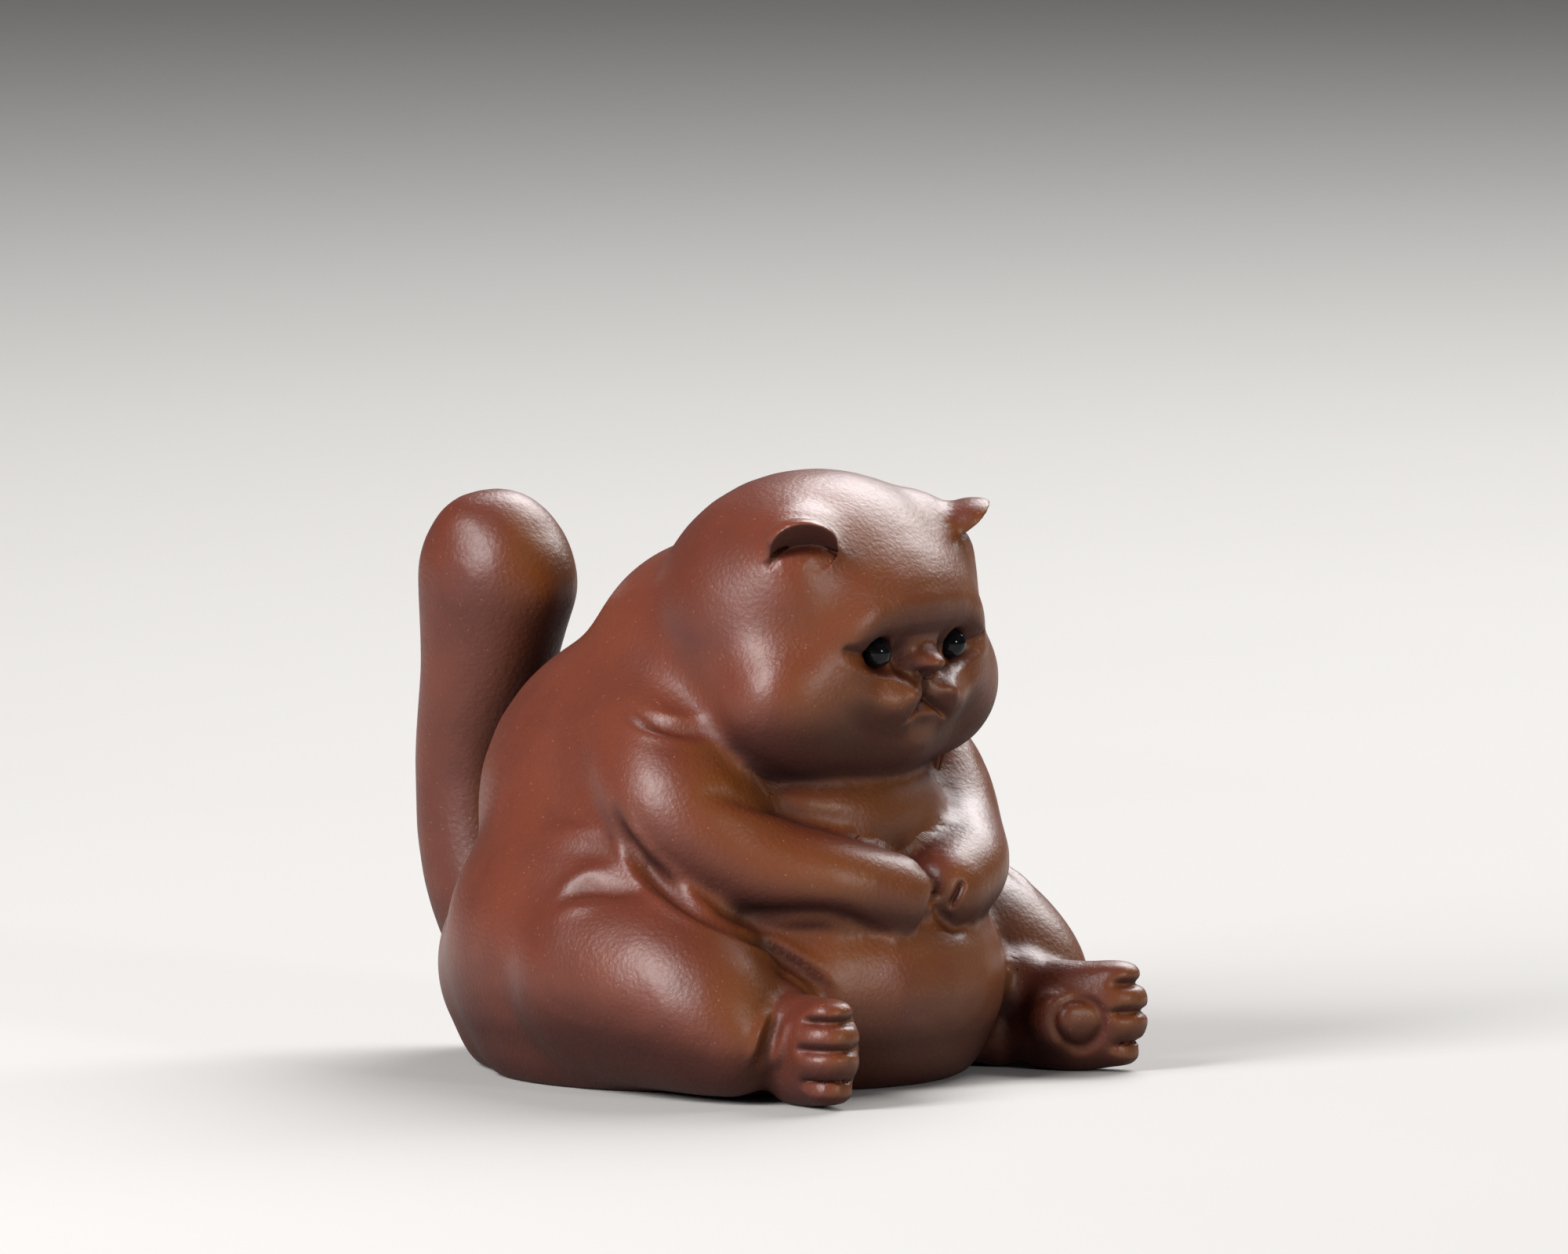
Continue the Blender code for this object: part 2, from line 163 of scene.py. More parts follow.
class Clay:
    """The skin's points and normals as arrays, with the strokes that model them."""

    camera = PhotoCamera()

    def __init__(self):
        self.obj = bpy.data.objects[SKIN]
        self.read()

    def read(self):
        mesh = self.obj.data
        self.points = np.empty(len(mesh.vertices) * 3)
        mesh.vertices.foreach_get("co", self.points)
        self.points = self.points.reshape(-1, 3)
        edges = np.empty(len(mesh.edges) * 2, dtype=np.int64)
        mesh.edges.foreach_get("vertices", edges)
        self.edges = edges.reshape(-1, 2)
        self.degree = np.bincount(self.edges.ravel(), minlength=len(self.points))[:, None]
        self.measure()

    def write(self):
        self.obj.data.vertices.foreach_set("co", self.points.ravel())
        self.obj.data.update()

    def measure(self):
        """Normals and the tree for rays, after the points have moved."""
        self.write()
        normals = np.empty(len(self.points) * 3)
        self.obj.data.vertices.foreach_get("normal", normals)
        self.normals = normals.reshape(-1, 3)
        bm = bmesh.new()
        bm.from_mesh(self.obj.data)
        self.tree = BVHTree.FromBMesh(bm)
        bm.free()

    def neighbours_mean(self, values):
        a, b = self.edges.T
        size = len(values)
        sums = [np.bincount(a, values[b, k], size) + np.bincount(b, values[a, k], size)
                for k in range(values.shape[1])]
        return np.stack(sums, axis=1) / self.degree

    def hit(self, x, y):
        point, normal, _, _ = self.tree.ray_cast(self.camera.place, self.camera.ray(x, y))
        return point, normal

    def line(self, pixels):
        """The points of the clay, and its normals, under a curve of the photograph's pixels."""
        hits = [self.hit(x, y) for x, y in curve_points(pixels, 3)]
        hits = [(point, normal) for point, normal in hits if point is not None]
        if not hits:
            raise RuntimeError("No clay lies under the stroke")
        return np.array([p for p, _ in hits]), np.array([n for _, n in hits])

    def reach(self, line, normals, far, both=True, mirror_from=0.0):
        """The points near a line: index, distance, share of the way along and the stroke's strength.

        A mirrored stroke fades in from a distance to the middle, where one is given in mm.
        """
        points, facing = self.points, self.normals
        strength = np.ones(len(points))
        if both:
            flip = np.sign(points[:, 0]) * np.sign(np.mean(line[:, 0]) or 1.0)
            flip[flip == 0] = 1.0
            if mirror_from:
                fade = np.clip((np.abs(points[:, 0]) / MM - mirror_from) / MIRROR_FADE, 0, 1)
                strength = np.where(flip < 0, fade, 1.0)
            flip = np.stack([flip, np.ones_like(flip), np.ones_like(flip)], axis=1)
            points, facing = points * flip, facing * flip
        near = np.all((points > line.min(axis=0) - far) & (points < line.max(axis=0) + far), axis=1)
        index = np.flatnonzero(near)
        gaps = np.linalg.norm(points[index, None] - line[None], axis=2)
        closest = gaps.argmin(axis=1)
        same_side = np.sum(facing[index] * normals[closest], axis=1) > 0.1
        share = closest / max(1, len(line) - 1)
        index = index[same_side]
        return index, gaps.min(axis=1)[same_side], share[same_side], strength[index]

    def press(self, pixels, width, depth, lip=0.0, ends=(0.3, 0.3), both=True, mirror_from=0.0):
        """A groove with a round section along a line, with raised lips where they are asked for.

        The ends are the shares of the line over which it fades in and out.
        """
        line, normals = self.line(pixels)
        width, depth, lip = width * MM, depth * MM, lip * MM
        index, gap, share, strength = self.reach(line, normals, 3.5 * width, both, mirror_from)
        if len(line) > 1:
            for way, end in ((share, ends[0]), (1 - share, ends[1])):
                strength = strength * (step(way / end) if end else 1.0)
        profile = -depth * bell(gap, width) + lip * bell(gap - 1.9 * width, 0.8 * width)
        self.points[index] += self.normals[index] * (profile * strength)[:, None]
        self.measure()

    def swell(self, x, y, radius, height, both=True):
        """A round swelling at a pixel, or a dimple where the height is below zero."""
        self.press([(x, y)], radius, -height, both=both)

    def blend(self, x, y, radius, rounds, both=True):
        """Smooths the clay around a pixel."""
        point, _ = self.hit(x, y)
        if point is None:
            raise RuntimeError("No clay lies under the pixel")
        across = abs(point.x) if both else point.x
        self.soften((across / MM, point.y / MM, point.z / MM), radius, rounds, both)

    def soften(self, centre, radius, rounds, both=True):
        """Smooths the clay in a ball, given in mm, that fades towards its edge."""
        points = folded(self.points) if both else self.points
        gap = np.linalg.norm(points - np.array(centre) * MM, axis=1) / (radius * MM)
        weight = np.clip(1.5 * (1 - gap), 0, 1)[:, None]
        for _ in range(rounds):
            self.points += 0.5 * weight * (self.neighbours_mean(self.points) - self.points)
        self.measure()

    def refine(self, centre, radius, rounds=3):
        """Halves the size of the faces in a ball, given in mm, on both sides, and evens them out."""
        mesh = self.obj.data
        bm = bmesh.new()
        bm.from_mesh(mesh)
        centre, radius = Vector(centre) * MM, radius * MM

        def inside(point):
            return (Vector((abs(point.x), point.y, point.z)) - centre).length < radius

        faces = [face for face in bm.faces if inside(face.calc_center_median())]
        edges = list({edge for face in faces for edge in face.edges})
        cut = bmesh.ops.subdivide_edges(bm, edges=edges, cuts=1, use_grid_fill=True)
        fresh = list({item for item in cut["geom"] if isinstance(item, bmesh.types.BMVert)})
        for _ in range(rounds):
            bmesh.ops.smooth_vert(
                bm, verts=fresh, factor=0.4, use_axis_x=True, use_axis_y=True, use_axis_z=True)
        bm.to_mesh(mesh)
        bm.free()
        mesh.update()
        self.read()


class Value:
    """A socket of a shader. Arithmetic with it adds Math nodes."""

    def __init__(self, shader, socket):
        self.shader = shader
        self.socket = socket

    def __add__(self, other):
        return self.shader.math("ADD", self, other)

    def __sub__(self, other):
        return self.shader.math("SUBTRACT", self, other)

    def __rsub__(self, other):
        return self.shader.math("SUBTRACT", other, self)

    def __mul__(self, other):
        return self.shader.math("MULTIPLY", self, other)

    __radd__ = __add__
    __rmul__ = __mul__

    def between(self, low, high):
        """0 at low and 1 at high, smooth between them."""
        inputs = {"Value": self, "From Min": low, "From Max": high}
        return self.shader.node("ShaderNodeMapRange", inputs, interpolation_type="SMOOTHSTEP")


class Shader:
    """A material's Principled shader and the nodes that feed it."""

    def __init__(self, name):
        self.material = bpy.data.materials.new(name)
        self.material.use_nodes = True
        self.tree = self.material.node_tree
        self.surface = self.tree.nodes["Principled BSDF"]

    def node(self, kind, inputs=None, output=0, **settings):
        made = self.tree.nodes.new(kind)
        for name, value in settings.items():
            setattr(made, name, value)
        for name, value in (inputs or {}).items():
            self.set(made.inputs[name], value)
        return Value(self, made.outputs[output])

    def set(self, socket, value):
        if isinstance(value, Value):
            self.tree.links.new(value.socket, socket)
        else:
            socket.default_value = value

    def math(self, operation, a, b):
        return self.node("ShaderNodeMath", {0: a, 1: b}, operation=operation)

    def mix(self, factor, a, b):
        colours = [(*c, 1.0) if isinstance(c, tuple) and len(c) == 3 else c for c in (a, b)]
        inputs = {0: factor, 6: colours[0], 7: colours[1]}
        return self.node("ShaderNodeMix", inputs, output=2, data_type="RGBA")

    def noise(self, place, scale, detail=2.0, roughness=0.5):
        inputs = {"Vector": place, "Scale": scale, "Detail": detail, "Roughness": roughness}
        return self.node("ShaderNodeTexNoise", inputs)

    def finish(self, **inputs):
        for name, value in inputs.items():
            self.set(self.surface.inputs[name.replace("_", " ").title()], value)
        return self.material


# How fine the clay's clouds, dents, flecks, sand and grain are, as texture scales
CLOUDS, DENTS, FLECKS, SAND, GRAIN = 45.0, 160.0, 900.0, 1500.0, 1900.0


def clay_material(settings):
    """Fired red clay: sandy grain, cloudy colour, painted shade in creases, shut-in places and on
    undersides, painted warm light on the faces that look forward, and a hand-rubbed sheen.
    """
    shader = Shader("red clay")
    place = shader.node("ShaderNodeTexCoord", output=3)
    facing = shader.node("ShaderNodeTexCoord", output=1)
    forward = shader.node("ShaderNodeSeparateXYZ", {0: facing}, output=1)
    upward = shader.node("ShaderNodeSeparateXYZ", {0: facing}, output=2)
    # Crease depth and how shut in each point is: both darken the colour below as painted shade
    hollow = shader.node("ShaderNodeAttribute", output=2, attribute_name="hollow")
    shade = shader.node("ShaderNodeAttribute", output=2, attribute_name="shade")
    # Surfaces that face down: darkened below as painted shade, and left rougher and without coat
    under = upward.between(0.25, -0.55)

    cloud = shader.noise(place, CLOUDS, 4.0, 0.6)
    dents = shader.noise(place, DENTS, 3.0, 0.55)
    fleck = shader.noise(place, FLECKS, 1.0, 0.5)
    grain = shader.noise(place, GRAIN, 3.0, 0.6)
    sand = shader.node("ShaderNodeTexVoronoi", {"Vector": place, "Scale": SAND, "Randomness": 1.0})

    red = shader.mix(cloud.between(0.35, 0.65), tuple(settings.red), tuple(settings.brown))
    # Painted warm light: the surfaces that face forward turn warmer, in clouds
    painted_warm_light = forward.between(-0.35, -0.95) * cloud.between(0.2, 0.55) * 0.95
    base = shader.mix(painted_warm_light, red, tuple(settings.warm))
    grains = sand.between(0.26, 0.06) * fleck.between(0.52, 0.7) * 0.55
    speckled = shader.mix(grains, base, tuple(settings.sand))
    dotted = shader.mix(grain.between(0.62, 0.78) * 0.35, speckled, tuple(settings.dark_grain_and_shade))
    # Painted shade: the colour goes deeper in creases, where the clay is shut in, and on undersides
    painted_shade = shade.between(0.1, 0.55) * 0.7 + hollow * 0.2
    with_painted_shade = shader.mix(painted_shade + under * 0.8 - painted_shade * under * 0.8, dotted, tuple(settings.dark_grain_and_shade))

    uneven = (cloud - 0.5) * 0.16 + (grain - 0.5) * 0.2
    rough = settings.roughness + uneven + hollow * 0.15 + under * 0.3
    rubbed = (0.4 - hollow * 0.3) * (1 - under) * (1 - shade.between(0.15, 0.5) * 0.8)
    relief = dents * 0.03 + grain * 0.14 + sand * 0.07
    bump = shader.node("ShaderNodeBump", {"Strength": 1.0, "Distance": 0.6 * MM, "Height": relief})
    shader.surface.inputs["Specular IOR Level"].default_value = 0.28
    shader.surface.inputs["Coat Roughness"].default_value = 0.4
    return shader.finish(base_color=with_painted_shade, roughness=rough, coat_weight=rubbed, normal=bump)


def glass_material():
    """Black glass with a trace of dust in its polish."""
    shader = Shader("black glass")
    place = shader.node("ShaderNodeTexCoord", output=3)
    haze = shader.noise(place, 900.0, 2.0)
    shader.surface.inputs["Specular IOR Level"].default_value = 0.2
    colour = shader.mix(haze.between(0.4, 0.7), (0.003, 0.003, 0.004), (0.009, 0.007, 0.008))
    return shader.finish(base_color=colour, roughness=0.05 + haze * 0.06)


def slab_material(settings):
    """The slab's raw underside: the same clay, scraped flat and left rough."""
    shader = Shader("scraped clay")
    place = shader.node("ShaderNodeTexCoord", output=3)
    stretched = shader.node("ShaderNodeMapping", {"Vector": place, "Scale": (0.15, 1.0, 1.0)})
    scrape = shader.noise(stretched, 700.0, 3.0)
    grain = shader.noise(place, 2600.0, 2.0)
    base = shader.mix(scrape.between(0.35, 0.7), tuple(settings.brown), tuple(settings.red))
    sandy = shader.mix(grain.between(0.6, 0.75) * 0.4, base, tuple(settings.sand))
    relief = scrape + grain * 0.4
    bump = shader.node("ShaderNodeBump", {"Strength": 0.5, "Distance": 0.4 * MM, "Height": relief})
    return shader.finish(base_color=sandy, roughness=0.6 + (grain - 0.5) * 0.2, normal=bump)


class ClaySettings(bpy.types.PropertyGroup):
    """The clay's fineness, colours and finish."""

    voxel: FloatProperty(
        name="Voxel", description="Size of the voxels that fuse the pieces to one skin",
        subtype="DISTANCE", default=0.7 * MM, min=0.4 * MM, max=2 * MM)
    spread: FloatProperty(
        name="Spread", description="How far the pieces swell before fusing, to close their gaps",
        subtype="DISTANCE", default=0.35 * MM, min=0.0, max=1 * MM)
    rounds: IntProperty(
        name="Smoothing", description="Rounds of smoothing over the fused skin",
        default=14, min=0, max=60)
    red: FloatVectorProperty(
        name="Red", description="The fired clay where it is lightest",
        subtype="COLOR", default=(0.152, 0.033, 0.015), min=0, max=1)
    brown: FloatVectorProperty(
        name="Brown", description="The clouds in the fired clay",
        subtype="COLOR", default=(0.115, 0.024, 0.012), min=0, max=1)
    # Both the grain's blackish specks and the painted shade in creases, shut-in places and undersides
    dark_grain_and_shade: FloatVectorProperty(
        name="Dark", description="The tea stain in creases and on undersides",
        subtype="COLOR", default=(0.022, 0.005, 0.004), min=0, max=1)
    # The colour of the painted warm light on the surfaces that face forward
    warm: FloatVectorProperty(
        name="Warm", description="The patina on the surfaces that face forward",
        subtype="COLOR", default=(0.165, 0.046, 0.006), min=0, max=1)
    sand: FloatVectorProperty(
        name="Sand", description="The grains of sand in the clay",
        subtype="COLOR", default=(0.420, 0.170, 0.080), min=0, max=1)
    roughness: FloatProperty(
        name="Roughness", description="How matt the rubbed clay is",
        subtype="FACTOR", default=0.39, min=0.0, max=1.0)


class StageSettings(bpy.types.PropertyGroup):
    """The strengths of the lamps and the sky, and the floor's shade."""

    key: FloatProperty(
        name="Back key", description="Power of the large lamp behind the cat's left side",
        unit="POWER", default=14.0, min=0.0)
    fill: FloatProperty(
        name="Side fill", description="Power of the tall lamp beside the cat's right flank",
        unit="POWER", default=20.0, min=0.0)
    front: FloatProperty(
        name="Front", description="Power of the small lamp ahead, which the eyes mirror",
        unit="POWER", default=3.2, min=0.0)
    sky: FloatProperty(
        name="Sky", description="Strength of the even light from all around",
        default=0.10, min=0.0)
    floor: FloatVectorProperty(
        name="Floor", description="Colour of the floor",
        subtype="COLOR", default=(0.545, 0.53, 0.515), min=0, max=1)


class TEAPET_OT_gather_clay(bpy.types.Operator):
    """Fuse the clay pieces of the CAD model to one smooth skin"""

    bl_idname = "teapet.gather_clay"
    bl_label = "Gather clay"

    # Clay pressed into the joint between belly, leg and heel: centres and radii in mm
    HEEL_FILLETS = (((24.2, -29.5, 10.6), 5.2), ((23.0, -27.0, 4.6), 4.6))
    # The plug over the slab: how far above it, and how thick, in mm
    PLUG_GAP = 0.6
    PLUG_DEPTH = 6.0

    def execute(self, context):
        settings = context.scene.teapet_clay
        bm = bmesh.new()
        for node in CLAY_NODES:
            first = len(bm.verts)
            bm.from_mesh(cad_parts[node].data)
            if node in EARS:
                self.fill_hollow(bm, first)
        bmesh.ops.remove_doubles(bm, verts=bm.verts, dist=WELD)
        bmesh.ops.recalc_face_normals(bm, faces=bm.faces)
        bm.normal_update()
        for vert in bm.verts:
            vert.co += vert.normal * settings.spread
        self.plug_mouth(bm)
        self.fill_heels(bm)
        mesh = bpy.data.meshes.new(SKIN)
        bm.to_mesh(mesh)
        bm.free()
        skin = put(SKIN, mesh)
        fuse = skin.modifiers.new("fuse", "REMESH")
        fuse.mode = "VOXEL"
        fuse.voxel_size = settings.voxel
        smooth = skin.modifiers.new("smooth", "SMOOTH")
        smooth.factor = 0.5
        smooth.iterations = settings.rounds
        self.bake(context, skin)
        self.keep_outside(skin.data)
        clay = Clay()
        clay.points -= clay.normals * settings.spread
        clay.points[:, 2] = np.maximum(clay.points[:, 2], 0.0)
        clay.measure()
        return {"FINISHED"}

    def fill_hollow(self, bm, first):
        """Turns the last piece that was read into a full lump."""
        bm.verts.ensure_lookup_table()
        verts = bm.verts[first:]
        faces = {face for vert in verts for face in vert.link_faces}
        bmesh.ops.delete(bm, geom=list(faces), context="FACES_ONLY")
        hull = bmesh.ops.convex_hull(bm, input=verts)
        left_over = hull["geom_interior"] + hull["geom_unused"]
        spare = [item for item in left_over if isinstance(item, bmesh.types.BMVert)]
        bmesh.ops.delete(bm, geom=spare, context="VERTS")

    def plug_mouth(self, bm):
        """Closes the torso above the slab's seat, so that the skin has no inside."""
        low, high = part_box(SLAB)
        radius, depth = (high.x - low.x) / 2, self.PLUG_DEPTH * MM
        middle = Matrix.Translation((0, 0, high.z + self.PLUG_GAP * MM + depth / 2))
        bmesh.ops.create_cone(
            bm, cap_ends=True, segments=64, radius1=radius, radius2=radius, depth=depth, matrix=middle)

    def fill_heels(self, bm):
        for (x, y, z), radius in self.HEEL_FILLETS:
            for side in (-1, 1):
                place = Matrix.Translation(Vector((side * x, y, z)) * MM)
                bmesh.ops.create_icosphere(bm, subdivisions=3, radius=radius * MM, matrix=place)

    def bake(self, context, skin):
        graph = context.evaluated_depsgraph_get()
        mesh = bpy.data.meshes.new_from_object(skin.evaluated_get(graph))
        skin.modifiers.clear()
        skin.data = mesh

    def keep_outside(self, mesh):
        """Leaves only the largest shell, which is the outside."""
        bm = bmesh.new()
        bm.from_mesh(mesh)
        unseen = set(bm.verts)
        shells = []
        while unseen:
            shell, front = set(), [unseen.pop()]
            while front:
                vert = front.pop()
                shell.add(vert)
                for edge in vert.link_edges:
                    other = edge.other_vert(vert)
                    if other in unseen:
                        unseen.remove(other)
                        front.append(other)
            shells.append(shell)
        outside = max(shells, key=len)
        spare = [vert for shell in shells if shell is not outside for vert in shell]
        bmesh.ops.delete(bm, geom=spare, context="VERTS")
        bm.to_mesh(mesh)
        bm.free()


class TEAPET_OT_model_body(bpy.types.Operator):
    """Blend the shoulders and press the folds of the neck, flank and hip"""

    bl_idname = "teapet.model_body"
    bl_label = "Model body"

    # Places to blend: centre and radius in mm, and rounds of smoothing
    BLENDS = (
        ((26, 5, 43), 16, 90),
        ((29, 1, 31), 10, 40),
        ((30, 12, 33), 16, 80),
        ((26, 24, 26), 14, 60),
        ((0, 14, 57), 20, 90),
        ((15, 8, 56), 14, 70),
        ((19, -14, 60), 14, 90),
        ((21, -16, 52), 11, 60),
        ((26, 26, 13), 15, 80),
    )
    # The nape's blends in pixels, with their radius in mm and rounds
    NAPE = ((800, 828), (832, 856), (862, 880))
    NAPE_BLEND = (8, 60)
    # Strokes in pixels
    NECK_FOLD = ((795, 897), (830, 920), (870, 932), (915, 936))
    FLANK_RIDGE = ((690, 1060), (740, 1061), (795, 1068))
    FLANK_DIP = ((700, 1086), (750, 1088), (800, 1096))
    HIP_RIDGE = ((694, 1164), (718, 1134), (750, 1114), (800, 1108))
    HIP_FOLD = ((702, 1160), (745, 1137), (800, 1138), (840, 1134))
    HIP_LIP = ((690, 1170), (730, 1160), (775, 1152))
    # Swellings and dips of the tail's tip: pixel, radius and height in mm
    TAIL_TIP = ((582, 656, 4.0, 0.9), (700, 668, 4.5, -0.9), (720, 755, 4.0, 0.8))

    def execute(self, context):
        clay = Clay()
        for centre, radius, rounds in self.BLENDS:
            clay.soften(centre, radius, rounds)
        for x, y in self.NAPE:
            clay.blend(x, y, *self.NAPE_BLEND)
        clay.press(self.NECK_FOLD, 1.1, 0.9, lip=0.3, ends=(0.45, 0.45))
        clay.press(self.FLANK_RIDGE, 1.2, -0.45, ends=(0.5, 0.5))
        clay.press(self.FLANK_DIP, 1.7, 0.45, ends=(0.5, 0.5))
        clay.press(self.HIP_RIDGE, 1.2, -0.5, ends=(0.45, 0.45))
        clay.press(self.HIP_FOLD, 1.1, 0.7, ends=(0.45, 0.45))
        clay.press(self.HIP_LIP, 1.1, -0.4, ends=(0.5, 0.5))
        for x, y, radius, height in self.TAIL_TIP:
            clay.swell(x, y, radius, height)
        return {"FINISHED"}


class TEAPET_OT_model_forelegs(bpy.types.Operator):
    """Press the creases around the folded forelegs and slit the paws"""

    bl_idname = "teapet.model_forelegs"
    bl_label = "Model forelegs"

    # Places in mm: around the paws, and where the forelegs lie against the chest
    PAWS = (5, -34, 25)
    CHEST_JOINT = (7, -29, 32)
    PAW_REFINES = (((6, -34, 25), 9), ((4, -35, 24), 7))
    # Places in pixels: two on the far foreleg's wrist, and one where jaw and shoulder meet
    WRIST = (1172, 1072)
    FOREARM = (1196, 1060)
    JAW_JOINT = (1196, 966)
    # Strokes in pixels
    UPPER_EDGE = ((880, 1020), (930, 1016), (1000, 1035), (1060, 1050), (1130, 1066))
    ELBOW = ((780, 1015), (790, 1050), (810, 1085), (850, 1135), (890, 1165), (950, 1195))
    LOWER_EDGE = ((890, 1162), (950, 1167), (1050, 1167), (1100, 1180), (1150, 1200))
    PAW_JOINT = ((1158, 1102), (1176, 1109), (1187, 1117), (1191, 1134), (1189, 1152), (1180, 1178),
                 (1162, 1200))
    PAW_BELOW = ((1193, 1152), (1205, 1174), (1226, 1184), (1246, 1168))
    PAW_SLIT = ((1231, 1121), (1222, 1140), (1210, 1162))

    def execute(self, context):
        clay = Clay()
        for centre, radius in self.PAW_REFINES:
            clay.refine(centre, radius)
        clay.press(self.UPPER_EDGE, 1.4, 0.9, mirror_from=24)
        clay.press(self.ELBOW, 1.1, 0.9, lip=0.4, mirror_from=29)
        clay.press(self.LOWER_EDGE, 1.2, 0.9, mirror_from=24)
        clay.blend(*self.WRIST, 4, 25, both=False)
        clay.blend(*self.FOREARM, 5, 40, both=False)
        clay.press(self.PAW_JOINT, 0.9, 1.1, ends=(0.5, 0.3), both=False)
        clay.press(self.PAW_BELOW, 0.9, 0.7, both=False)
        clay.soften(self.PAWS, 10, 5)
        clay.refine(self.CHEST_JOINT, 7)
        clay.soften(self.CHEST_JOINT, 8, 30)
        clay.blend(*self.JAW_JOINT, 5, 60)
        clay.press(self.PAW_SLIT, 0.5, 0.8, both=False)
        return {"FINISHED"}


class TEAPET_OT_model_hind_legs(bpy.types.Operator):
    """Press the thigh creases, carve the toes and ring the sole pads"""

    bl_idname = "teapet.model_hind_legs"
    bl_label = "Model hind legs"

    # The foot's centre in mm, its splay and the heights of the grooves between the toes
    FOOT = (25.8, -36.0)
    SPLAY = math.radians(18)
    TOE_GROOVES = (3.8, 7.75, 11.5)
    # How far the toes reach outward and forward beyond the CAD foot, and places on the foot, in mm
    TOE_REACH = (0.9, -0.3)
    FOOT_REFINE = ((26, -38, 7), 13)
    TOES = (28, -44, 7)
    # Strokes in pixels, and the sole pad's centre and radii
    THIGH_CREASE = ((930, 1186), (980, 1212), (1030, 1245), (1065, 1275))
    CREASE_END = (1045, 1256)
    ANKLE = ((1000, 1290), (985, 1318), (975, 1345), (970, 1366))
    PAD = (1375, 1303)
    PAD_RADII = (31, 29)

    def execute(self, context):
        clay = Clay()
        clay.refine(*self.FOOT_REFINE)
        clay.press(self.THIGH_CREASE, 0.9, 0.7, lip=0.55, both=False)
        clay.blend(*self.CREASE_END, 4, 6, both=False)
        clay.press(self.ANKLE, 0.9, 0.35, lip=0.4)
        self.part_toes(clay)
        clay.soften(self.TOES, 10, 2)
        turns = np.linspace(0, 2 * math.pi, 25)
        ring = np.column_stack([np.cos(turns), np.sin(turns)]) * self.PAD_RADII + self.PAD
        clay.press(ring, 0.7, 0.6, ends=(0, 0))
        clay.swell(*self.PAD, 2.0, 0.15)
        self.settle(clay)
        return {"FINISHED"}

    def part_toes(self, clay):
        """Presses the grooves between the toes, from the top of the foot round the tips to the sole."""
        x, y, z = folded(clay.points).T / MM
        x, y = x - self.FOOT[0], y - self.FOOT[1]
        along = x * math.sin(self.SPLAY) - y * math.cos(self.SPLAY)
        out = -x * math.cos(self.SPLAY) - y * math.sin(self.SPLAY)
        foot = (along > 0) & (along < 14) & (np.abs(out) < 9) & (z < 17)
        reach = step((along - 4.0 - 1.8 * step((out + 2.5) / 5)) / 2.5)
        gap = np.min([np.abs(z - groove) for groove in self.TOE_GROOVES], axis=0)
        depth = (0.9 * bell(gap, 0.45) + 0.4 * bell(gap, 1.1)) * reach * foot
        clay.points -= clay.normals * depth[:, None] * MM
        stretch = step((along - 1) / 6) * foot * MM
        outward, forward = self.TOE_REACH
        clay.points[:, 0] += outward * np.sign(clay.points[:, 0]) * stretch
        clay.points[:, 1] += forward * stretch
        clay.measure()

    def settle(self, clay, height=6 * MM):
        """Flattens the undersides, where the soft clay sank on to the bench."""
        z = clay.points[:, 2]
        low = (z < height) & (clay.normals[:, 2] < 0.2)
        share = z[low] / height
        clay.points[low, 2] = z[low] * share * (2 - share)
        clay.measure()


